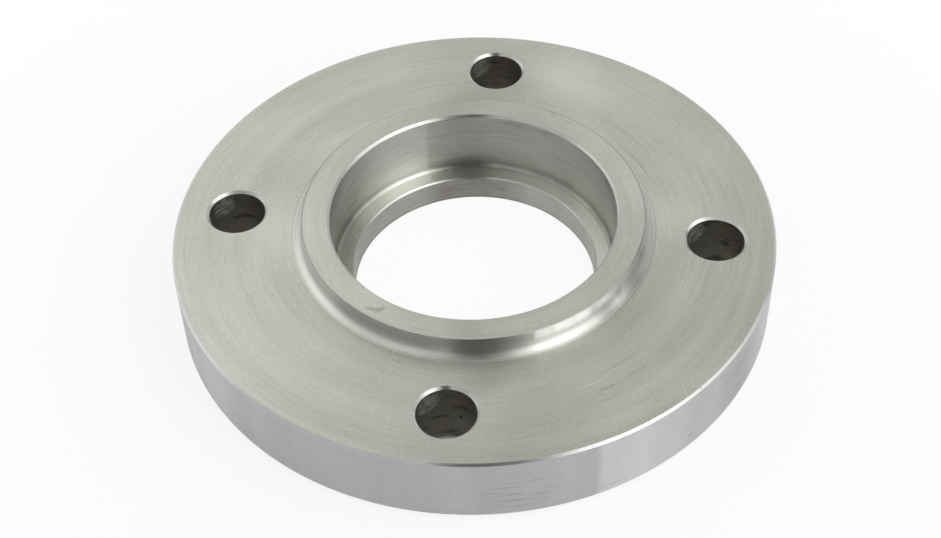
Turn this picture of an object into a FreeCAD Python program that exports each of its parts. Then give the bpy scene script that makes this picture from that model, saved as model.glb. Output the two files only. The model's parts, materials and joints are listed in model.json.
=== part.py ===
import FreeCAD, Part
import math
import os

import Sketcher

# A socket weld pipe flange, turned from one forging, in millimetres.
# Z is the axis of the pipe. The raised gasket face lies at z = 0, the pipe enters the
# socket from above, and the bolt holes straddle the X and Y axes.

# Driving dimensions: name, value and meaning.
SIZES = [
    ("pipe_diameter", 88.9, "outside of the pipe that the socket takes"),
    ("pipe_wall", 5.49, "wall of that pipe; the flow bore has the pipe's inside diameter"),
    ("socket_gap", 0.8, "clearance between pipe and socket, on the radius"),
    ("socket_depth", 22.3, "from the end of the hub to the shoulder"),
    ("socket_root_radius", 1.8, "corner between the socket wall and the shoulder"),
    ("mouth_chamfer", 0.75, "lead-in at the mouth of the socket"),
    ("bore_chamfer", 0.45, "both ends of the flow bore"),
    ("hub_wall", 8.75, "hub, around the socket"),
    ("hub_height", 6.1, "hub, above the back of the disc"),
    ("hub_fillet", 3.2, "root of the hub"),
    ("hub_to_bolts", 22.2, "from the wall of the hub to the bolt circle"),
    ("bolts_to_rim", 18.8, "from the bolt circle to the rim"),
    ("disc_thickness", 24.0, "disc, from the foot of the raised face to the back"),
    ("rim_chamfer", 0.7, "both edges of the rim"),
    ("raised_face_diameter", 127.0, "gasket face"),
    ("raised_face_height", 1.6, "gasket face, above the disc"),
    ("edge_break", 0.3, "outer edges of the hub and of the gasket face"),
    ("bolt_hole_diameter", 18.0, "clearance for an M16 stud"),
    ("bolt_hole_chamfer", 0.8, "both ends of every bolt hole"),
    ("bolt_holes", 4, "number of bolt holes"),
]

# Radii of the turned section. All but the gasket face's follow from the pipe outwards.
SOCKET_RADIUS = "Sizes.pipe_diameter / 2 + Sizes.socket_gap"
HUB_RADIUS = f"{SOCKET_RADIUS} + Sizes.hub_wall"
BOLT_CIRCLE_RADIUS = f"{HUB_RADIUS} + Sizes.hub_to_bolts"
RADII = {
    "bore": "Sizes.pipe_diameter / 2 - Sizes.pipe_wall",
    "socket": SOCKET_RADIUS,
    "hub": HUB_RADIUS,
    "face": "Sizes.raised_face_diameter / 2",
    "rim": f"{BOLT_CIRCLE_RADIUS} + Sizes.bolts_to_rim",
}

# Heights of the turned section above the gasket face.
BACK_HEIGHT = "Sizes.raised_face_height + Sizes.disc_thickness"
HUB_END_HEIGHT = f"{BACK_HEIGHT} + Sizes.hub_height"
HEIGHTS = {
    "gasket": "0",
    "foot": "Sizes.raised_face_height",
    "back": BACK_HEIGHT,
    "end": HUB_END_HEIGHT,
    "shoulder": f"{HUB_END_HEIGHT} - Sizes.socket_depth",
}

# Corners of the half section, round from the inner edge of the gasket face.
SECTION = [
    ("bore", "gasket"),
    ("face", "gasket"),
    ("face", "foot"),
    ("rim", "foot"),
    ("rim", "back"),
    ("hub", "back"),
    ("hub", "end"),
    ("socket", "end"),
    ("socket", "shoulder"),
    ("bore", "shoulder"),
]

BOLT_HOLE_RADIUS = "Sizes.bolt_hole_diameter / 2"
# Half the angle between two bolt holes, in degrees.
FIRST_HOLE_ANGLE = "180 / Sizes.bolt_holes"

FULL_TURN = 360
# How closely an edge matches the place where it is looked for.
NEAR = 1e-4

# In a sketch, geometry -1 is the X axis with the origin as its point 1. A line starts at
# its point 1 and ends at its point 2, and a circle has its centre at point 3.


def make_sheet(document):
    sheet = document.addObject("Spreadsheet::Sheet", "Sizes")
    for row, (alias, value, meaning) in enumerate(SIZES, start=1):
        sheet.set(f"A{row}", meaning)
        sheet.set(f"B{row}", str(value))
        sheet.setAlias(f"B{row}", alias)
    document.recompute()
    return sheet


def worked_out(sheet, formula):
    return float(sheet.evalExpression(formula))


def origin_feature(body, role):
    return next(item for item in body.Origin.OriginFeatures if item.Role == role)


def new_sketch(body, name, plane):
    sketch = body.newObject("Sketcher::SketchObject", name)
    sketch.AttachmentSupport = (origin_feature(body, plane), [""])
    sketch.MapMode = "FlatFace"
    return sketch


def bind(sketch, name, formula, kind, *place):
    """Adds one dimension to a sketch and ties it to the sheet."""
    number = sketch.addConstraint(Sketcher.Constraint(kind, *place))
    sketch.renameConstraint(number, name)
    sketch.setExpression(f"Constraints.{name}", formula)


def draw_section(sketch, sheet):
    """The half section: level and upright lines, each corner held by its radius and height."""
    radius = {name: worked_out(sheet, formula) for name, formula in RADII.items()}
    height = {name: worked_out(sheet, formula) for name, formula in HEIGHTS.items()}
    corners = [FreeCAD.Vector(radius[across], height[up], 0) for across, up in SECTION]
    count = len(corners)
    for line in range(count):
        following = (line + 1) % count
        sketch.addGeometry(Part.LineSegment(corners[line], corners[following]), False)
        level = SECTION[line][1] == SECTION[following][1]
        direction = "Horizontal" if level else "Vertical"
        sketch.addConstraint(Sketcher.Constraint(direction, line))
    for line in range(count):
        following = (line + 1) % count
        sketch.addConstraint(Sketcher.Constraint("Coincident", line, 2, following, 1))
    sketch.addConstraint(Sketcher.Constraint("PointOnObject", 0, 1, -1))
    for name, formula in RADII.items():
        line = next(index for index, corner in enumerate(SECTION) if corner[0] == name)
        bind(sketch, f"{name}_radius", formula, "DistanceX", -1, 1, line, 1, radius[name])
    for name, formula in HEIGHTS.items():
        if name == "gasket":
            continue
        line = next(index for index, corner in enumerate(SECTION) if corner[1] == name)
        bind(sketch, f"{name}_height", formula, "DistanceY", -1, 1, line, 1, height[name])


def turn_section(body, sheet):
    section = new_sketch(body, "turned_section", "XZ_Plane")
    draw_section(section, sheet)
    turned = body.newObject("PartDesign::Revolution", "turned_blank")
    turned.Profile = section
    turned.ReferenceAxis = (section, ["V_Axis"])
    turned.Angle = FULL_TURN
    body.Document.recompute()
    return turned


def ring_edges(shape, radius, height):
    """Names of the circular edges of one radius that lie level at one height."""
    names = []
    for number, edge in enumerate(shape.Edges, start=1):
        if not isinstance(edge.Curve, Part.Circle):
            continue
        same_radius = math.isclose(edge.Curve.Radius, radius, abs_tol=NEAR)
        same_height = math.isclose(edge.Curve.Center.z, height, abs_tol=NEAR)
        if same_radius and same_height:
            names.append(f"Edge{number}")
    return names


def dress_edges(body, sheet, name, kind, size, rings):
    """A fillet or chamfer along rings given as pairs of radius and height formulas."""
    base = body.Tip
    edges = []
    for radius, height in rings:
        edges += ring_edges(base.Shape, worked_out(sheet, radius), worked_out(sheet, height))
    if not edges:
        raise RuntimeError(f"{name} found no edge")
    feature = body.newObject(f"PartDesign::{kind}", name)
    feature.Base = (base, edges)
    feature.setExpression("Radius" if kind == "Fillet" else "Size", f"Sizes.{size}")
    body.Document.recompute()


def drill_bolt_holes(body, sheet):
    """One hole half an angular pitch round from X, then the rest of the bolt circle."""
    radius = worked_out(sheet, BOLT_CIRCLE_RADIUS)
    angle = math.radians(worked_out(sheet, FIRST_HOLE_ANGLE))
    centre = FreeCAD.Vector(radius * math.cos(angle), radius * math.sin(angle), 0)
    hole_radius = worked_out(sheet, BOLT_HOLE_RADIUS)

    sketch = new_sketch(body, "bolt_hole_place", "XY_Plane")
    spoke = sketch.addGeometry(Part.LineSegment(FreeCAD.Vector(), centre), True)
    up = FreeCAD.Vector(0, 0, 1)
    circle = sketch.addGeometry(Part.Circle(centre, up, hole_radius), False)
    sketch.addConstraint(Sketcher.Constraint("Coincident", spoke, 1, -1, 1))
    sketch.addConstraint(Sketcher.Constraint("Coincident", circle, 3, spoke, 2))
    bind(sketch, "bolt_circle_radius", BOLT_CIRCLE_RADIUS, "Distance", spoke, radius)
    bind(sketch, "first_hole_angle", f"{FIRST_HOLE_ANGLE} * 1 deg", "Angle", spoke, angle)
    bind(sketch, "hole_radius", BOLT_HOLE_RADIUS, "Radius", circle, hole_radius)

    hole = body.newObject("PartDesign::Pocket", "bolt_hole")
    hole.Profile = sketch
    hole.Type = "ThroughAll"
    hole.Reversed = True
    body.Document.recompute()

    pattern = body.newObject("PartDesign::PolarPattern", "bolt_hole_circle")
    pattern.Originals = [hole]
    pattern.Axis = (origin_feature(body, "Z_Axis"), [""])
    pattern.Angle = FULL_TURN
    pattern.setExpression("Occurrences", "Sizes.bolt_holes")
    body.Tip = pattern
    body.Document.recompute()


def make_flange(document, sheet):
    body = document.addObject("PartDesign::Body", "flange")
    turn_section(body, sheet)
    ring = {corner: (RADII[corner[0]], HEIGHTS[corner[1]]) for corner in SECTION}
    dress_edges(body, sheet, "hub_root_fillet", "Fillet", "hub_fillet",
                [ring["hub", "back"]])
    dress_edges(body, sheet, "socket_root_fillet", "Fillet", "socket_root_radius",
                [ring["socket", "shoulder"]])
    dress_edges(body, sheet, "rim_chamfers", "Chamfer", "rim_chamfer",
                [ring["rim", "foot"], ring["rim", "back"]])
    dress_edges(body, sheet, "mouth_lead_in", "Chamfer", "mouth_chamfer",
                [ring["socket", "end"]])
    dress_edges(body, sheet, "bore_chamfers", "Chamfer", "bore_chamfer",
                [ring["bore", "shoulder"], ring["bore", "gasket"]])
    dress_edges(body, sheet, "edge_breaks", "Chamfer", "edge_break",
                [ring["hub", "end"], ring["face", "gasket"]])
    drill_bolt_holes(body, sheet)
    dress_edges(body, sheet, "bolt_hole_chamfers", "Chamfer", "bolt_hole_chamfer",
                [(BOLT_HOLE_RADIUS, HEIGHTS["foot"]), (BOLT_HOLE_RADIUS, HEIGHTS["back"])])
    return body


def check(document, pieces):
    for item in document.Objects:
        if "Invalid" in item.State or "Error" in item.State:
            raise RuntimeError(f"{item.Name} could not be worked out")
    for piece in pieces:
        if piece.Shape.isNull() or not piece.Shape.isValid():
            raise RuntimeError(f"{piece.Label} has no valid shape")


def main():
    document = FreeCAD.newDocument("socket_weld_flange")
    sheet = make_sheet(document)
    pieces = [make_flange(document, sheet)]
    document.recompute()
    check(document, pieces)
    os.makedirs("parts", exist_ok=True)
    for piece in pieces:
        piece.Shape.exportStep(f"parts/{piece.Label}.step")
        print(piece.Label, len(piece.Shape.Solids), "solid,", round(piece.Shape.Volume), "mm3")


main()
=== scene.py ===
import json
import math

import bmesh
import bpy
from mathutils import Matrix, Vector


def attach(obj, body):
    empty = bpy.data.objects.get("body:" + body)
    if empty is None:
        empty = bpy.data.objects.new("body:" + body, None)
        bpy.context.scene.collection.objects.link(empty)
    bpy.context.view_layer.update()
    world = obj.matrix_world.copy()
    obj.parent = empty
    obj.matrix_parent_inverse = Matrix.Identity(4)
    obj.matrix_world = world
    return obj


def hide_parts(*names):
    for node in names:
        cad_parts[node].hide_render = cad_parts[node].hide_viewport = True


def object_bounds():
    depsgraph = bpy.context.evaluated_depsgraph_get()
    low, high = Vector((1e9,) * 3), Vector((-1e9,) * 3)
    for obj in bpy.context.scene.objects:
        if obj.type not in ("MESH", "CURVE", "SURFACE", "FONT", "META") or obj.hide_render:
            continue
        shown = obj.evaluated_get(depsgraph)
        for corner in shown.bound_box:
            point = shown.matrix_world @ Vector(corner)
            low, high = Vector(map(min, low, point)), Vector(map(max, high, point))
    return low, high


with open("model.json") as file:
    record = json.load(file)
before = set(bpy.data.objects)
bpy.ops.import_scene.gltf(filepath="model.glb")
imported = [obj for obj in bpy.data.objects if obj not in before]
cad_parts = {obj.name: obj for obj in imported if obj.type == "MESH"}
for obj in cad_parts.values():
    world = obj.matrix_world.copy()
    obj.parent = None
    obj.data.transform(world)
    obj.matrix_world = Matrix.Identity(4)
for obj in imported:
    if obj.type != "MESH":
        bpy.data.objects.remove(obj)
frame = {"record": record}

# A turned stainless steel socket weld flange on a white sweep.
# Lengths are metres. z = 0 is the gasket face, and the pipe enters the socket from above.

cadLow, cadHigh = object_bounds()
mm = 0.001
near = 0.02 * mm                        # how close a place has to be when it is picked
mounts = {mount["name"]: mount for mount in frame["record"]["mounts"]}
socketSizes = mounts["socket"]["dims"]
boltSizes = mounts["bolt_holes"]["dims"]

flange = {
    "segments": 360,                    # round the axis
    "rimRadius": cadHigh[0],
    "hubEnd": cadHigh[2],
    "backFace": mounts["back_face"]["pos_m"][2],
    "footOfRaisedFace": 1.6 * mm,
    "raisedFaceRadius": 63.5 * mm,
    "hubRadius": 54 * mm,
    "socketRadius": socketSizes["r_mm"] * mm,
    "socketDepth": 22.3 * mm,
    "boreRadius": 38.96 * mm,
    "hubFillet": 3.2 * mm,
    "rootFillet": 1.8 * mm,
    "rimChamfer": 0.7 * mm,
    "mouthChamfer": 0.75 * mm,
    "boreChamfer": 0.45 * mm,
    "edgeBreak": 0.3 * mm,
    "filletSteps": 12,
    "scribeWidth": 0.12 * mm,           # tool mark where the facing cut meets the hub's root
    "scribeDepth": 0.05 * mm,
    "smoothUnder": math.radians(24),
}

boltHole = {
    "segments": 96,
    "count": boltSizes["count"],
    "circleRadius": boltSizes["pcd_mm"] / 2 * mm,
    "radius": boltSizes["hole_r_mm"] * mm,
    "chamfer": 0.8 * mm,
}

gasketFinish = {
    "pitch": 0.8 * mm,                  # from one serration to the next
    "depth": 0.045 * mm,
    "plainEdge": 0.5 * mm,
}


# Modelling helpers

def onlySelect(piece):
    bpy.ops.object.select_all(action="DESELECT")
    piece.select_set(True)
    bpy.context.view_layer.objects.active = piece


def startEdit(piece):
    onlySelect(piece)
    bpy.ops.object.mode_set(mode="EDIT")
    bpy.ops.mesh.select_all(action="DESELECT")


def endEdit():
    bpy.ops.object.mode_set(mode="OBJECT")


def pickFaces(piece, test):
    # test takes the face's middle and its normal
    bpy.ops.mesh.select_mode(type="FACE")
    bpy.ops.mesh.select_all(action="DESELECT")
    mesh = bmesh.from_edit_mesh(piece.data)
    for face in mesh.faces:
        if test(face.calc_center_median(), face.normal):
            face.select_set(True)
    bmesh.update_edit_mesh(piece.data)


def pickRing(piece, radius, height):
    # the ring of edges at one radius and one height
    bpy.ops.mesh.select_mode(type="EDGE")
    bpy.ops.mesh.select_all(action="DESELECT")
    mesh = bmesh.from_edit_mesh(piece.data)
    for edge in mesh.edges:
        if all(abs(math.hypot(*vert.co.xy) - radius) < near and abs(vert.co.z - height) < near
               for vert in edge.verts):
            edge.select_set(True)
    bmesh.update_edit_mesh(piece.data)


def pickOpenEdges(piece, height):
    # the edges at one height that have a face on one side only
    bpy.ops.mesh.select_all(action="DESELECT")
    mesh = bmesh.from_edit_mesh(piece.data)
    for edge in mesh.edges:
        if edge.is_boundary and all(abs(vert.co.z - height) < near for vert in edge.verts):
            edge.select_set(True)
    bmesh.update_edit_mesh(piece.data)


def step(distance):
    bpy.ops.mesh.extrude_region_move(TRANSFORM_OT_translate={"value": (0, 0, distance)})


def inset(width):
    bpy.ops.mesh.inset(thickness=width, depth=0)


def roundRing(piece, radius, height, size, steps=1):
    pickRing(piece, radius, height)
    bpy.ops.mesh.bevel(offset=size, segments=steps, profile=0.5, affect="EDGES")


def applyModifier(piece, kind, **settings):
    onlySelect(piece)
    modifier = piece.modifiers.new(kind.title(), kind)
    for setting, value in settings.items():
        setattr(modifier, setting, value)
    bpy.ops.object.modifier_apply(modifier=modifier.name)


# The flange

def turnBlank():
    size = flange
    thickness = size["backFace"] - size["footOfRaisedFace"]
    bpy.ops.object.select_all(action="DESELECT")
    bpy.ops.mesh.primitive_cylinder_add(
        vertices=size["segments"], radius=size["rimRadius"], depth=thickness,
        end_fill_type="NGON", location=(0, 0, size["footOfRaisedFace"] + thickness / 2))
    blank = bpy.context.object
    blank.name = "turnedFlange"
    bpy.ops.object.transform_apply(location=True)

    startEdit(blank)
    # the back: disc, hub, then down the socket and the flow bore
    pickFaces(blank, lambda middle, normal: normal.z > 0.9)
    inset(size["rimRadius"] - size["hubRadius"])
    step(size["hubEnd"] - size["backFace"])
    inset(size["hubRadius"] - size["socketRadius"])
    step(-size["socketDepth"])
    inset(size["socketRadius"] - size["boreRadius"])
    step(size["socketDepth"] - size["hubEnd"])
    bpy.ops.mesh.delete(type="FACE")
    # the front: the raised gasket face
    pickFaces(blank, lambda middle, normal: normal.z < -0.9)
    inset(size["rimRadius"] - size["raisedFaceRadius"])
    step(-size["footOfRaisedFace"])
    inset(size["raisedFaceRadius"] - size["boreRadius"])
    bpy.ops.mesh.delete(type="FACE")
    bpy.ops.mesh.select_all(action="SELECT")
    bpy.ops.mesh.remove_doubles(threshold=near)
    bpy.ops.mesh.normals_make_consistent(inside=False)
    endEdit()
    return blank


def breakEdges(piece):
    size = flange
    shoulder = size["hubEnd"] - size["socketDepth"]
    startEdit(piece)
    roundRing(piece, size["hubRadius"], size["backFace"], size["hubFillet"], size["filletSteps"])
    roundRing(piece, size["socketRadius"], shoulder, size["rootFillet"], size["filletSteps"])
    for height in (size["footOfRaisedFace"], size["backFace"]):
        roundRing(piece, size["rimRadius"], height, size["rimChamfer"])
    roundRing(piece, size["socketRadius"], size["hubEnd"], size["mouthChamfer"])
    for height in (0, shoulder):
        roundRing(piece, size["boreRadius"], height, size["boreChamfer"])
    roundRing(piece, size["hubRadius"], size["hubEnd"], size["edgeBreak"])
    roundRing(piece, size["raisedFaceRadius"], 0, size["edgeBreak"])
    endEdit()


def scribeHubRoot(piece):
    # a hairline groove round the hub's root
    size = flange
    startEdit(piece)
    pickFaces(piece, lambda middle, normal:
              normal.z > 0.999 and abs(middle.z - size["backFace"]) < near)
    inset(size["scribeWidth"])
    inset(size["scribeWidth"])
    root = size["hubRadius"] + size["hubFillet"] + size["scribeWidth"]
    pickRing(piece, root, size["backFace"])
    bpy.ops.transform.translate(value=(0, 0, -size["scribeDepth"]))
    endEdit()


def serrateGasketFace(piece):
    # the ring is inset from both of its edges, so the grooves meet at its middle
    size = flange
    startEdit(piece)
    pickFaces(piece, lambda middle, normal: normal.z < -0.9 and abs(middle.z) < near)
    inset(gasketFinish["plainEdge"])
    width = (size["raisedFaceRadius"] - size["edgeBreak"] - size["boreRadius"]
             - size["boreChamfer"] - 2 * gasketFinish["plainEdge"])
    halfPitch = gasketFinish["pitch"] / 2
    for number in range(int(width / 2 / halfPitch)):
        inset(halfPitch)
        depth = gasketFinish["depth"] if number % 2 == 0 else -gasketFinish["depth"]
        bpy.ops.transform.translate(value=(0, 0, depth))
    endEdit()


def cutBoltHoles(piece):
    # the disc's flat faces come off, and are filled again round the holes' walls
    size = boltHole
    low = flange["footOfRaisedFace"]
    high = flange["backFace"]
    startEdit(piece)
    for height in (low, high):
        pickFaces(piece, lambda middle, normal:
                  abs(normal.z) > 0.999 and abs(middle.z - height) < near)
        bpy.ops.mesh.delete(type="FACE")
    flare = 1 + size["chamfer"] / size["radius"]
    straight = high - low - 2 * size["chamfer"]
    bpy.ops.mesh.select_mode(type="EDGE")
    for number in range(size["count"]):
        angle = math.pi / size["count"] * (1 + 2 * number)
        across = size["circleRadius"] * math.cos(angle)
        along = size["circleRadius"] * math.sin(angle)
        bpy.ops.mesh.select_all(action="DESELECT")
        bpy.ops.mesh.primitive_circle_add(
            vertices=size["segments"], radius=size["radius"] * flare,
            fill_type="NOTHING", location=(across, along, high))
        for drop, scale in ((size["chamfer"], 1 / flare), (straight, 1), (size["chamfer"], flare)):
            bpy.ops.mesh.extrude_edges_move(TRANSFORM_OT_translate={"value": (0, 0, -drop)})
            bpy.ops.transform.resize(value=(scale, scale, 1), center_override=(across, along, 0))
    for height in (low, high):
        pickOpenEdges(piece, height)
        bpy.ops.mesh.fill(use_beauty=True)
    bpy.ops.mesh.select_all(action="SELECT")
    bpy.ops.mesh.normals_make_consistent(inside=False)
    endEdit()


def finishShading(piece):
    onlySelect(piece)
    bpy.ops.object.shade_smooth_by_angle(angle=flange["smoothUnder"])
    applyModifier(piece, "WEIGHTED_NORMAL", mode="FACE_AREA", weight=50, keep_sharp=True)


# Shader maths

class Shade:
    # one socket of a material's nodes, which can stand in a sum
    def __init__(self, tree, socket=None):
        self.tree = tree
        self.socket = socket

    def add(self, kind, settings=None, sockets=None, output=0):
        node = self.tree.nodes.new("ShaderNode" + kind)
        for name, value in (settings or {}).items():
            if name == "stops":
                while len(node.color_ramp.elements) < len(value):
                    node.color_ramp.elements.new(0.5)
                for stop, (place, colour) in zip(node.color_ramp.elements, value):
                    stop.position = place
                    stop.color = colour
            else:
                setattr(node, name, value)
        for name, value in (sockets or {}).items():
            if isinstance(value, Shade):
                self.tree.links.new(value.socket, node.inputs[name])
            else:
                node.inputs[name].default_value = value
        return Shade(self.tree, node.outputs[output] if node.outputs else None)

    def maths(self, operation, first, second=0.0, clamp=False):
        return self.add("Math", {"operation": operation, "use_clamp": clamp}, {0: first, 1: second})

    def __add__(self, other):
        return self.maths("ADD", self, other)

    def __sub__(self, other):
        return self.maths("SUBTRACT", self, other)

    def __rsub__(self, other):
        return self.maths("SUBTRACT", other, self)

    def __mul__(self, other):
        return self.maths("MULTIPLY", self, other)

    def __truediv__(self, other):
        return self.maths("DIVIDE", self, other)

    def __pow__(self, other):
        return self.maths("POWER", self, other)

    __radd__ = __add__
    __rmul__ = __mul__

    def between(self, low, high):
        # 0 below low, 1 above high, smooth between them
        return self.add("MapRange", {"interpolation_type": "SMOOTHSTEP"},
                        {"Value": self, "From Min": low, "From Max": high})

    def below(self, low, high):
        # 1 below low, 0 above high, smooth between them
        return 1 - self.between(low, high)

    def within(self, width, edge):
        # 1 near 0, 0 where it is farther off than width; edge is the share of it that is soft
        return (self.size() / width).below(1 - edge, 1)

    def size(self):
        return self.maths("ABSOLUTE", self)

    def atLeast(self, other):
        return self.maths("MAXIMUM", self, other)

    def clamped(self):
        return self.maths("ADD", self, 0.0, clamp=True)


def blendColours(factor, first, second):
    return factor.add("Mix", {"data_type": "RGBA", "clamp_factor": True},
                      {0: factor, 6: first, 7: second}, output=2)


def linear(red, green, blue):
    # a colour as it is seen on screen, 0 to 255, made a shader's linear colour
    def one(value):
        value = value / 255
        return value / 12.92 if value <= 0.04045 else ((value + 0.055) / 1.055) ** 2.4
    return (one(red), one(green), one(blue), 1)


acrossTheGrooves = 0.25                 # a quarter turn, as the shader counts it

sides = {
    # degrees from +X towards +Y
    "openingLight": -20,                # bright in the socket, opposite the dark shoulder
    "far": 52.3,                        # farthest in the photo
    "socketLamp": 160.5,                # the lamp's place in the socket runs left from here
    "left": 200,
}


class Place:
    # where a point of the flange is: across, round and along its axis
    def __init__(self, material):
        material.use_nodes = True
        tree = material.node_tree
        tree.nodes.clear()
        self.start = Shade(tree)
        self.object = self.start.add("TexCoord", output="Object")
        split = self.start.add("SeparateXYZ", sockets={0: self.object})
        parts = split.socket.node.outputs
        self.x, self.y, self.z = (Shade(tree, parts[axis]) for axis in "XYZ")
        self.radius = (self.x * self.x + self.y * self.y) ** 0.5
        self.east = self.x / self.radius
        self.north = self.y / self.radius

    def vector(self, x, y, z):
        return self.start.add("CombineXYZ", sockets={0: x, 1: y, 2: z})

    def noise(self, vector, scale=1.0, detail=2.0, roughness=0.5):
        return self.start.add("TexNoise", {"noise_dimensions": "3D"}, {
            "Vector": vector, "Scale": scale, "Detail": detail, "Roughness": roughness})

    def side(self, name):
        # 1 on the side with this name, -1 on the one opposite
        angle = math.radians(sides[name])
        return self.east * math.cos(angle) + self.north * math.sin(angle)

    def turned(self, along, about, detail=2.0, shift=0.0):
        # noise stretched round the axis: along is its scale over the profile, in 1/m
        profile = (self.radius - self.z) * along + shift
        return self.noise(self.vector(self.east * about, self.north * about, profile), 1, detail)

    def streaked(self, about, upwards, detail=2.0):
        # noise on a wall: its scale round the axis, and up the wall in 1/m
        return self.noise(self.vector(self.east * about, self.north * about, self.z * upwards),
                          1, detail)

    def spot(self, place, halfSize, edge=0.5):
        # 1 inside an ellipsoid round a place, 0 outside it; both in mm
        offsets = [(axis - centre * mm) / (half * mm)
                   for axis, centre, half in zip((self.x, self.y, self.z), place, halfSize)]
        distance = (offsets[0] ** 2 + offsets[1] ** 2 + offsets[2] ** 2) ** 0.5
        return distance.below(1 - edge, 1)

    def arc(self, radius, drift, start, end, width, edge=0.6):
        # 1 on a stretch of a turning line: mm, and degrees from +X
        angle = self.start.maths("ARCTAN2", self.y, self.x) * (180 / math.pi)
        run = (angle - start) / (end - start)
        aside = self.radius - (run * drift + radius) * mm
        return aside.within(width * mm, edge) * (run - 0.5).within(0.5, 0.7)

    def lampBand(self):
        # a painted highlight: a stretch of the socket that is lighter, sharp on its right, fading to
        # its left
        aside = self.side("socketLamp")
        return aside.between(-0.01, 0.03) * aside.below(0.3, 0.65)


def newMaterial(name):
    material = bpy.data.materials.new(name)
    return material, Place(material)


def finishMetal(place, colour, roughness, height, tone):
    # the tone's bump is how far the height goes, and its grooves blur what the metal mirrors
    normal = place.start.add("Bump", sockets={
        "Height": height, "Distance": tone["bump"], "Strength": 1.0})
    surface = place.start.add("BsdfPrincipled", sockets={
        "Metallic": 1.0, "Base Color": colour, "Roughness": roughness, "Normal": normal,
        "Anisotropic": tone.get("anisotropic", 0), "Anisotropic Rotation": acrossTheGrooves})
    place.start.add("OutputMaterial", sockets={"Surface": surface})


facedSteel = {
    "light": linear(211, 212, 202),
    "dark": linear(168, 169, 158),
    # the stain tone also paints a shade line along the hub end's far edge
    "stainAndShade": linear(118, 118, 98),
    "scratch": linear(226, 226, 218),
    # painted highlight tones for the lighter patches and the shoulder's lit side, painted shade for
    # the darker patches
    "paintedSheen": linear(232, 231, 222),
    "shoulder": linear(246, 245, 236),
    "paintedShade": linear(150, 151, 139),
    "shadePatches": [                         # x, y, half width along each, strength
        (-37, -52, 16, 9, 0.35),
        (-8, -74, 60, 28, 0.35),
        (32, 45, 26, 16, 0.5),
        (-33, -37, 9, 8, 0.3),
    ],
    "brighter": [(-47, 36, 20, 22, 0.25), (50, -37, 16, 18, 0.25), (70, 34, 20, 26, 0.5)],
    "hubStains": [                      # x, y, half width along each, strength
        (49.6, 20.0, 1.0, 3.4, 0.3),
        (50.4, 12.0, 0.9, 2.4, 0.2),
    ],
    "stroke": [                         # x, y, half width: one curved smear on the hub's end
        (-49.9, -11.8, 0.9), (-49.4, -12.5, 1.0), (-48.9, -13.3, 1.1),
        (-48.2, -14.3, 1.4), (-47.4, -14.7, 1.3), (-46.6, -14.7, 0.9),
    ],
    "scribeRadius": 57.4 * mm,
    "hubEdgeRadius": 53.6 * mm,
    "speck": (3.78, -91.9, 25.6),
    "speckSize": (0.5, 0.35, 1),
    "roughness": 0.37,
    "anisotropic": 0.65,                # the turning lines blur what they mirror across them
    "bump": 0.006 * mm,
    "smears": [                         # radius, drift, start, end, width, strength
        (77.3, 0.7, -95.6, -87.5, 0.42, 0.32),
        (77.6, 0.5, -102.5, -95.6, 0.42, 0.42),
        (72.2, 0.3, -100.0, -84.0, 0.8, 0.2),
        (60.5, 0.2, -30.0, 5.0, 0.5, 0.25),
        (66.0, 0.3, -12.0, 18.0, 0.7, 0.16),
        (59.0, 0.0, 52.0, 80.0, 0.6, 0.16),
    ],
    "scratches": [
        (74.0, 0.95, -106.5, -97.2, 0.14, 0.75),
        (80.2, 0.6, -103.1, -99.1, 0.14, 0.6),
        (83.1, 0.4, -97.0, -88.0, 0.12, 0.45),
        (69.5, 0.3, -92.0, -80.0, 0.12, 0.4),
        (86.5, -0.3, -150.0, -141.0, 0.12, 0.4),
    ],
}


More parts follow.
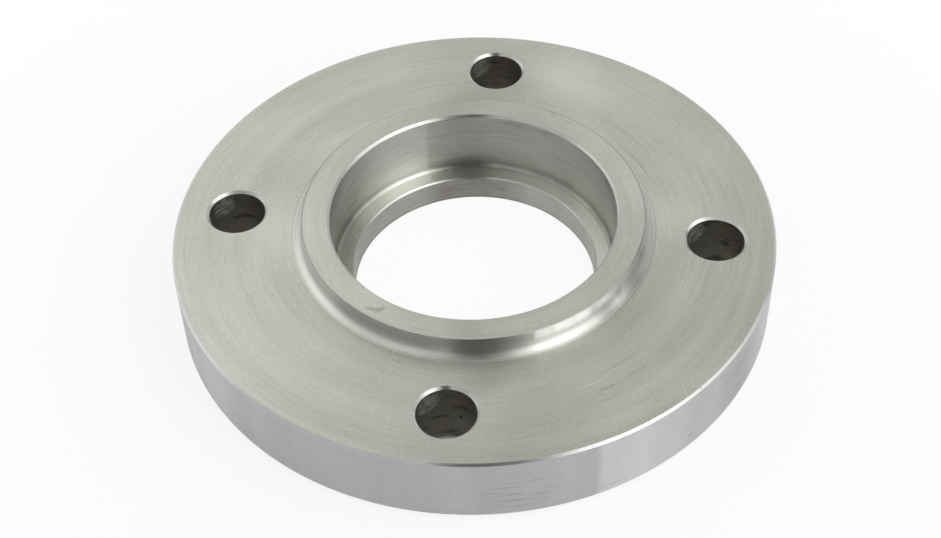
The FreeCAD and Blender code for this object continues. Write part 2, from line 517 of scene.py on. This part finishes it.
def makeFacedSteel():
    material, place = newMaterial("facedSteel")
    tone = facedSteel
    bands = place.turned(along=110, about=0.6, detail=3)
    lines = place.turned(along=2600, about=3, detail=2)
    ticks = place.turned(along=1700, about=9, detail=2, shift=3.3)
    grain = place.noise(place.object, 2300, 2)
    weave = place.noise(place.vector(place.x * 2100, place.y * 520, 0), 1, 2)
    cloud = place.noise(place.object, 30, 3)
    mixture = (bands * 0.75 + lines * 0.65 + grain * 1.1 + weave * 0.5 + cloud * 0.6 - 1.3).clamped()
    colour = blendColours(mixture, tone["dark"], tone["light"])
    # painted highlight: the shoulder inside is brightest on one side
    inside = place.radius.below(45 * mm, 46 * mm)
    paintedSheen = place.side("openingLight").between(0.2, 0.9).atLeast(place.lampBand() * 0.35)
    colour = blendColours(inside * paintedSheen * 0.95, colour, tone["shoulder"])
    hubEnd = flange["hubEnd"] / mm
    # painted shade and painted highlight: soft patches make the disc darker in some places and
    # lighter in others
    for patches, shade in (("shadePatches", "paintedShade"), ("brighter", "paintedSheen")):
        for x, y, halfX, halfY, strength in tone[patches]:
            patch = place.spot((x, y, 28), (halfX, halfY, 12), 0.95)
            colour = blendColours(patch * strength, colour, tone[shade])

    stainsAndShade = ticks.between(0.66, 0.78) * 0.1
    for x, y, halfX, halfY, strength in tone["hubStains"]:
        stainsAndShade = stainsAndShade.atLeast(place.spot((x, y, hubEnd), (halfX, halfY, 1), 0.9) * strength)
    for x, y, half in tone["stroke"]:
        stainsAndShade = stainsAndShade.atLeast(place.spot((x, y, hubEnd), (half, half, 1), 0.8) * 0.42)
    scribe = (place.radius - tone["scribeRadius"]).within(0.26 * mm, 0.7)
    stainsAndShade = stainsAndShade.atLeast(scribe * lines.between(0.3, 0.6) * 0.4)
    # painted shade: a dark hairline along the far edge of the hub's end, on the far side only
    edge = (place.radius - tone["hubEdgeRadius"]).within(0.2 * mm, 0.5)
    stainsAndShade = stainsAndShade.atLeast(edge * place.side("far").between(-0.2, 0.3) * 0.45)
    for radius, drift, start, end, width, strength in tone["smears"]:
        stainsAndShade = stainsAndShade.atLeast(place.arc(radius, drift, start, end, width, 0.9) * strength)
    colour = blendColours(stainsAndShade, colour, tone["stainAndShade"])

    scratches = place.spot(tone["speck"], tone["speckSize"]) * 0.8
    scratches = scratches.atLeast((1 - ticks).between(0.67, 0.77) * 0.15)
    for radius, drift, start, end, width, strength in tone["scratches"]:
        scratches = scratches.atLeast(place.arc(radius, drift, start, end, width) * strength)
    colour = blendColours(scratches * 0.7, colour, tone["scratch"])

    roughness = tone["roughness"] + (bands - 0.5) * 0.10 + (lines - 0.5) * 0.08
    finishMetal(place, colour, roughness, lines - scratches * 0.5, tone)
    return material


turnedSteel = {
    "light": linear(198, 198, 193),
    "dark": linear(172, 172, 167),
    "inside": linear(140, 138, 130),    # painted shade: the socket and bore are less bright than the hub
    "foot": linear(240, 240, 232),
    "glint": linear(243, 244, 243),
    "smudge": linear(120, 120, 116),
    "smudges": [                        # x, y, z, half width, strength
        (2.7, -53.9, 29.1, 2.2, 0.3), (13.9, -52.2, 28, 2.2, 0.3),
        (7, -56, 26.4, 6, 0.5), (22, -52.5, 26.4, 8, 0.5),
    ],
    "glintFrom": (-0.35, -0.32),        # share of the way to +X, on the -Y side
    "glintFades": (0.0, 0.3),
    "roughness": 0.41,
    "anisotropic": 0.96,
    "bump": 0.004 * mm,
}


def makeTurnedSteel():
    material, place = newMaterial("turnedSteel")
    tone = turnedSteel
    bands = place.turned(along=260, about=0.8, detail=3)
    lines = place.turned(along=3200, about=4, detail=2)
    marks = place.turned(along=900, about=4, detail=3)
    grain = place.noise(place.object, 2300, 2)
    blotches = place.streaked(5, 160, 3)
    mixture = (bands * 0.7 + lines * 0.8 + blotches * 0.5 + grain * 0.8 - 0.9).clamped()
    colour = blendColours(mixture, tone["dark"], tone["light"])
    inside = place.radius.below(45.3 * mm, 46.2 * mm)
    inBore = place.radius.below(39.5 * mm, 41 * mm)
    onHub = place.radius.between(50 * mm, 52 * mm)
    paintedSheen = inBore * place.side("openingLight").between(0.2, 0.9)
    away = place.side("far")
    ends = (1 - inBore) * away.below(0.45, 0.85)
    lip = inBore * place.z.below(0.7 * mm, 1.3 * mm)
    # painted shade: the socket and bore are darkened, less on their lit sides and in the lamp band,
    # more away from the socket's far side and on the bore's far side; it is also darker at the bore's
    # bottom lip, and marks, blotches and grain vary it
    shadeAndMarks = (0.38 - paintedSheen * 0.40 - place.lampBand() * (1 - inBore) * 0.3 + ends * 0.2
              + inBore * away.between(0.85, 0.97) * 0.4 + blotches.between(0.4, 0.75) * 0.15
              + marks.between(0.5, 0.7) * 0.26 + (grain - 0.5) * 0.5 + lip * 0.6)
    colour = blendColours(inside * shadeAndMarks, colour, tone["inside"])
    # painted highlight: the hub's fillet is brighter towards the disc, most of all on its left
    foot = place.z.below(25.8 * mm, 27.8 * mm) * place.radius.between(54.1 * mm, 55.4 * mm)
    toLeft = place.side("left").between(0.3, 0.9)
    colour = blendColours(foot * (toLeft * 0.6 + 0.12), colour, tone["foot"])
    # painted highlight: the hub's wall is bright from one upright edge onwards, fading along it
    glint = place.east.between(*tone["glintFrom"]) * place.east.below(*tone["glintFades"])
    glint = glint * place.north.below(-0.5, -0.3) * place.z.between(27.2 * mm, 29.2 * mm)
    upright = place.streaked(16, 60, 3)
    glint = glint * onHub * (upright.between(0.35, 0.6) * 0.3 + 0.6)
    colour = blendColours(glint, colour, tone["glint"])
    for x, y, z, half, strength in tone["smudges"]:
        smudge = place.spot((x, y, z), (half, half * 2, 3.4), 0.9)
        colour = blendColours(smudge * strength, colour, tone["smudge"])
    roughness = (tone["roughness"] + (bands - 0.5) * 0.08 + (lines - 0.5) * 0.08
                 + (blotches - 0.5) * 0.12 - inside * 0.08)
    finishMetal(place, colour, roughness, lines, tone)
    return material


edgeSteel = {
    "light": linear(214, 215, 211),
    "dark": linear(180, 181, 176),
    "rim": linear(212, 213, 210),
    "hub": linear(150, 151, 146),
    "nick": linear(110, 110, 104),
    "roughness": 0.37,
    "anisotropic": 0.93,
    "bump": 0.004 * mm,
    "nicks": [(-94.4, 9.5, 25.25), (29.8, -89.5, 25.25), (8.0, -94.1, 25.25),
              (-71.0, -61.5, 25.25), (-89.0, 31.5, 25.25), (-30.0, -89.8, 25.3)],
    "nickSize": (0.7, 0.5, 0.5),
}


def makeEdgeSteel():
    # the chamfers are cut last and shine more than the rest
    material, place = newMaterial("edgeSteel")
    tone = edgeSteel
    lines = place.turned(along=3200, about=6, detail=3)
    colour = blendColours(lines, tone["dark"], tone["light"])
    onRim = place.radius.between(93.9 * mm, 94.1 * mm)
    colour = blendColours(onRim * 0.8, colour, tone["rim"])
    onHub = place.radius.between(52 * mm, 53 * mm) * place.radius.below(55 * mm, 56 * mm)
    colour = blendColours(onHub * 0.9, colour, tone["hub"])
    # a fine line runs along the middle of the rim's chamfer, and a few knocks cross it
    middle = flange["rimRadius"] - flange["backFace"] - 0.02 * mm
    seam = (place.radius - place.z - middle).within(0.15 * mm, 0.6) * onRim * 0.2
    for nick in tone["nicks"]:
        seam = seam.atLeast(place.spot(nick, tone["nickSize"], 0.9) * 0.5)
    colour = blendColours(seam, colour, tone["nick"])
    roughness = tone["roughness"] + (lines - 0.5) * 0.14
    finishMetal(place, colour, roughness, lines, tone)
    return material


rimSteel = {
    "light": linear(196, 197, 198),
    "dark": linear(176, 178, 179),
    # painted highlight and painted shade tones for the rim's lighter and darker stretches
    "bright": linear(222, 224, 224),
    "paintedShade": linear(150, 151, 149),
    "smudge": linear(112, 112, 110),
    "brightFrom": -28.6,                # x in mm
    "brightPatch": [(-94, 10, 14), (9, 22, 30)],          # middle and half widths, in mm
    "shadePatch": [(30, -90, 14), (20, 14, 28)],
    "scored": [[(-49, -81.5, 12), (18, 14, 11)], [(-22.5, -92.3, 4.5), (5.5, 3, 2.2)]],
    "spot": [(5.1, -94.9, 7.1), (1.8, 1.5, 0.8)],
    "roughness": 0.38,
    "anisotropic": 0.6,
    "bump": 0.006 * mm,
}


def makeRimSteel():
    material, place = newMaterial("rimSteel")
    tone = rimSteel
    upright = place.streaked(9, 12, 3)
    lines = place.streaked(14, 2400, 2)
    grain = place.noise(place.object, 1900, 2)
    mixture = (upright * 1.3 + lines * 0.6 + grain * 1.1 - 1.03).clamped()
    colour = blendColours(mixture, tone["dark"], tone["light"])
    # painted highlight: brighter from one upright edge onwards, fading along the rim
    start = (place.x - tone["brightFrom"] * mm) / mm
    bright = start.between(-0.8, 2.4) * start.below(8, 50) * place.y.below(-80 * mm, -40 * mm)
    bright = bright.atLeast(place.spot(*tone["brightPatch"], 0.95) * 0.7)
    colour = blendColours(bright * (grain * 0.4 + upright * 0.4 + 0.2), colour, tone["bright"])
    # painted shade: a darker patch on the rim
    paintedShade = place.spot(*tone["shadePatch"], 0.95)
    colour = blendColours(paintedShade * 0.45, colour, tone["paintedShade"])
    ticks = place.streaked(7, 800, 4)
    where = place.noise(place.object, 30, 2)
    scored = where.between(0.52, 0.70) * 0.5
    for patch in tone["scored"]:
        scored = scored.atLeast(place.spot(*patch, 0.8))
    smudges = ticks.between(0.50, 0.68) * scored
    smudges = smudges.atLeast(place.spot(*tone["spot"], 0.8))
    colour = blendColours(smudges * 0.3, colour, tone["smudge"])
    roughness = tone["roughness"] + (upright - 0.5) * 0.12 + smudges * 0.1
    finishMetal(place, colour, roughness, lines, tone)
    return material


drilledSteel = {
    "light": linear(240, 241, 240),
    "grey": linear(142, 141, 132),
    "dark": linear(84, 84, 76),
    "brown": linear(151, 138, 122),
    "pit": (-45.8, -49.9, 13.1),
    "pitSize": (0.75, 0.75, 0.6),
    "roughness": 0.5,
    "bump": 0.03 * mm,
}


def makeDrilledSteel():
    material, place = newMaterial("drilledSteel")
    tone = drilledSteel
    centre = boltHole["circleRadius"] * math.sqrt(0.5)
    signs = [place.start.maths("SIGN", axis) for axis in (place.x, place.y)]
    # round the hole's own axis, as a unit vector
    across = (place.x - signs[0] * centre) / boltHole["radius"]
    along = (place.y - signs[1] * centre) / boltHole["radius"]
    which = signs[0] * 3.7 + signs[1] * 1.9          # so that no two holes are alike
    feed = place.z + across * (0.35 * mm) + along * (0.15 * mm)
    streaks = place.noise(place.vector(across * 3 + which, along * 3, feed * 2300), 1, 3, 0.6)
    cuts = place.noise(place.vector(across * 1.1 + which, along * 1.1, feed * 420 + 5.1), 1, 3)
    patches = place.noise(place.vector(across * 1.6 + which, along * 1.6, place.z * 130), 1, 3)
    colour = blendColours(patches.between(0.42, 0.66) * 0.75, tone["grey"], tone["brown"])
    colour = blendColours(cuts.between(0.54, 0.70) * 0.8, colour, tone["dark"])
    # light catches the drill's marks on one side, near the top
    patch = ((across + 0.02) / 0.5) ** 2 + ((place.z - 21 * mm) / (4.6 * mm)) ** 2
    patch = patch.below(0.35, 1) * along.between(0.2, 0.6)
    shine = patch * streaks.between(0.38, 0.62) * 0.9
    shine = shine.atLeast(streaks.between(0.60, 0.72) * 0.35)
    colour = blendColours(shine, colour, tone["light"])
    # the last of the wall catches light from below
    colour = blendColours(place.z.below(2.9 * mm, 3.6 * mm) * 0.6, colour, tone["light"])
    colour = blendColours(place.spot(tone["pit"], tone["pitSize"]), colour, (0, 0, 0, 1))
    roughness = tone["roughness"] + (streaks - 0.5) * 0.25
    finishMetal(place, colour, roughness, streaks + cuts * 0.6, tone)
    return material


gasketSteel = {
    "light": linear(196, 196, 188),
    "dark": linear(168, 168, 160),
    "roughness": 0.34,
    "bump": 0.004 * mm,
}


def makeGasketSteel():
    material, place = newMaterial("gasketSteel")
    tone = gasketSteel
    bands = place.turned(along=200, about=0.8, detail=3)
    lines = place.turned(along=3000, about=4, detail=2)
    cloud = place.noise(place.object, 40, 3)
    mixture = (bands + lines * 0.6 + cloud * 0.5 - 0.65).clamped()
    colour = blendColours(mixture, tone["dark"], tone["light"])
    roughness = tone["roughness"] + (lines - 0.5) * 0.1 + (cloud - 0.5) * 0.1
    finishMetal(place, colour, roughness, lines, tone)
    return material


def dress(piece):
    # each surface takes its finish by where it is
    finishes = {
        "turned": makeTurnedSteel(), "faced": makeFacedSteel(), "edge": makeEdgeSteel(),
        "rim": makeRimSteel(), "drilled": makeDrilledSteel(), "gasket": makeGasketSteel()}
    order = list(finishes)
    for finish in order:
        piece.data.materials.append(finishes[finish])
    rimStart = flange["rimRadius"] - near
    holeInside = boltHole["circleRadius"] - boltHole["radius"] - boltHole["chamfer"]
    for face in piece.data.polygons:
        out = math.hypot(face.center.x, face.center.y)
        upright = abs(face.normal.z) < 0.3
        chamfered = abs(abs(face.normal.z) - math.sqrt(0.5)) < 0.01
        raised = face.center.z < flange["footOfRaisedFace"] / 2
        if chamfered:
            finish = "edge"
        elif raised and abs(face.normal.z) > 0.9:
            finish = "gasket"
        elif abs(face.normal.z) > 0.99:
            finish = "faced"
        elif upright and out > rimStart - 0.05 * mm:
            finish = "rim"
        elif upright and holeInside < out < rimStart:
            finish = "drilled"
        else:
            finish = "turned"
        face.material_index = order.index(finish)


def makeFlange():
    piece = turnBlank()
    breakEdges(piece)
    scribeHubRoot(piece)
    serrateGasketFace(piece)
    cutBoltHoles(piece)
    finishShading(piece)
    dress(piece)
    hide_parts("flange")
    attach(piece, "root")
    print("flange made:", len(piece.data.polygons), "faces")
    return piece


# The studio

studio = {
    "floorSize": 24,
    "floorGlow": 0.87,                  # how much of the white seen doesn't depend on the lamps
    "boreGlow": 0.92,
    "glowUnderDisc": 0.2,
    "boreEdge": (0.039, 0.045),         # the glow changes between these radii
    "rimEdge": (0.086, 0.094),
    "farFloor": (0.1, 0.25),
    "mirroredShare": 0.6,               # and how much of that the metal mirrors
    "worldLevel": 0.6,
}


def makeFloor():
    bpy.ops.object.select_all(action="DESELECT")
    bpy.ops.mesh.primitive_plane_add(size=studio["floorSize"], location=(0, 0, 0))
    floor = bpy.context.object
    floor.name = "whiteSweep"
    material, place = newMaterial("whiteSweep")
    start = place.start
    diffuse = start.add("BsdfDiffuse", sockets={"Color": (0.9, 0.9, 0.9, 1)})
    white = start.add("Emission", sockets={"Color": (1, 1, 1, 1), "Strength": 1.0})
    rays = start.add("LightPath").socket.node.outputs
    camera, glossy, transmission = (Shade(start.tree, rays[name]) for name in (
        "Is Camera Ray", "Is Glossy Ray", "Is Transmission Ray"))
    seen = camera.atLeast(transmission).atLeast(glossy * studio["mirroredShare"])
    underDisc = studio["glowUnderDisc"]
    glow = (studio["boreGlow"]
            - place.radius.between(*studio["boreEdge"]) * (studio["boreGlow"] - underDisc)
            + place.radius.between(*studio["rimEdge"]) * (studio["floorGlow"] - underDisc)
            + place.radius.between(*studio["farFloor"]) * (1 - studio["floorGlow"]))
    surface = start.add("MixShader", sockets={0: seen * glow, 1: diffuse, 2: white})
    under = start.add("NewGeometry", output="Backfacing")
    clear = start.add("BsdfTransparent")
    surface = start.add("MixShader", sockets={0: under, 1: surface, 2: clear})
    start.add("OutputMaterial", sockets={"Surface": surface})
    floor.data.materials.append(material)


def compassPoint(bearing, rise, distance):
    # bearing in degrees from +Y towards +X, rise above the floor
    flat = distance * math.cos(math.radians(rise))
    return Vector((flat * math.sin(math.radians(bearing)), flat * math.cos(math.radians(bearing)),
                   distance * math.sin(math.radians(rise))))


def facing(place):
    # turns a lamp or card at a place so that its -Z looks at the flange
    return (Vector((0, 0, 0.02)) - place).to_track_quat("-Z", "Y").to_matrix().to_4x4()


softboxes = {
    # bearing, rise, distance, width, height, brightness
    "keyBox": (166, 50, 1.3, 0.62, 1.0, 2.3),
    "nextBox": (138, 50, 1.3, 0.62, 1.0, 1.3),
    "lastBox": (110, 50, 1.3, 0.62, 1.0, 0.7),
    "fillBox": (-18, 30, 1.5, 1.9, 1.3, 0.26),
}

cards = {
    # bearing, distance, width, lowest and highest edge, grey
    "blackFlag": (-143, 1.0, 0.58, 0.06, 3.0, 0.03),
    "greyFlag": (-165, 1.03, 0.26, 0.06, 3.0, 0.3),
    "leftCard": (-88, 1.4, 1.7, 0.0, 1.5, 0.8),
    "gapFlag": (104, 1.3, 0.22, 0.0, 1.6, 0.35),
    "rightCard": (63, 1.4, 1.45, 1.42, 2.7, 0.46),
}

topCard = {
    # hangs above, on the camera's side
    "bearing": -142,
    "rise": 87,
    "distance": 1.3,
    "width": 0.6,
    "height": 0.85,
    "grey": 0.5,
}


def makeSoftboxes():
    for name, (bearing, rise, distance, width, height, brightness) in softboxes.items():
        lamp = bpy.data.lights.new(name, "AREA")
        lamp.shape = "RECTANGLE"
        lamp.size = width
        lamp.size_y = height
        lamp.energy = brightness * math.pi * width * height
        box = bpy.data.objects.new(name, lamp)
        spot = compassPoint(bearing, rise, distance)
        box.matrix_world = Matrix.Translation(spot) @ facing(spot)
        bpy.context.collection.objects.link(box)


def makeCard(name, matrix, grey):
    # seen only as what the metal mirrors
    bpy.ops.object.select_all(action="DESELECT")
    bpy.ops.mesh.primitive_plane_add(size=1)
    card = bpy.context.object
    card.name = name
    card.data.transform(matrix)
    material, place = newMaterial(name)
    surface = place.start.add("BsdfDiffuse", sockets={"Color": (grey, grey, grey, 1)})
    place.start.add("OutputMaterial", sockets={"Surface": surface})
    card.data.materials.append(material)
    card.visible_camera = False


def makeCards():
    for name, (bearing, distance, width, low, high, grey) in cards.items():
        spot = compassPoint(bearing, 0, distance) + Vector((0, 0, (low + high) / 2))
        makeCard(name, Matrix.Translation(spot)
                 @ Matrix.Rotation(math.radians(-bearing), 4, "Z")
                 @ Matrix.Rotation(math.radians(90), 4, "X")
                 @ Matrix.Diagonal((width, high - low, 1, 1)), grey)
    spot = compassPoint(topCard["bearing"], topCard["rise"], topCard["distance"])
    makeCard("topCard", Matrix.Translation(spot) @ facing(spot)
             @ Matrix.Diagonal((topCard["width"], topCard["height"], 1, 1)), topCard["grey"])


def makeWorld():
    world = bpy.data.worlds.new("paleStudio")
    world.use_nodes = True
    tree = world.node_tree
    tree.nodes.clear()
    start = Shade(tree)
    rays = start.add("LightPath").socket.node.outputs
    seen = [Shade(tree, rays[name])
            for name in ("Is Camera Ray", "Is Glossy Ray", "Is Transmission Ray")]
    anySeen = seen[0].atLeast(seen[1]).atLeast(seen[2])
    plain = start.add("Background", sockets={"Color": (1, 1, 1, 1), "Strength": studio["worldLevel"]})
    white = start.add("Background", sockets={"Color": (1, 1, 1, 1), "Strength": 1.0})
    surface = start.add("MixShader", sockets={0: anySeen, 1: plain, 2: white})
    start.add("OutputWorld", sockets={"Surface": surface})
    bpy.context.scene.world = world


photoCamera = {
    "place": (-0.234323, -0.301646, 0.404410),
    "azimuth": -37.627,
    "elevation": 46.250,
    "roll": -1.968,
    "lens": 65.0,
}


def makeCamera():
    view = photoCamera
    data = bpy.data.cameras.new("photoCamera")
    data.lens = view["lens"]
    data.sensor_width = 36
    data.sensor_fit = "HORIZONTAL"
    data.clip_start = 0.01
    camera = bpy.data.objects.new("photoCamera", data)
    camera.matrix_world = (Matrix.Translation(view["place"])
                           @ Matrix.Rotation(math.radians(view["azimuth"]), 4, "Z")
                           @ Matrix.Rotation(math.radians(90 - view["elevation"]), 4, "X")
                           @ Matrix.Rotation(math.radians(view["roll"]), 4, "Z"))
    bpy.context.collection.objects.link(camera)
    bpy.context.scene.camera = camera


makeFlange()
makeFloor()
makeSoftboxes()
makeCards()
makeWorld()
makeCamera()
bpy.context.scene.view_settings.view_transform = "Standard"
print("studio made")
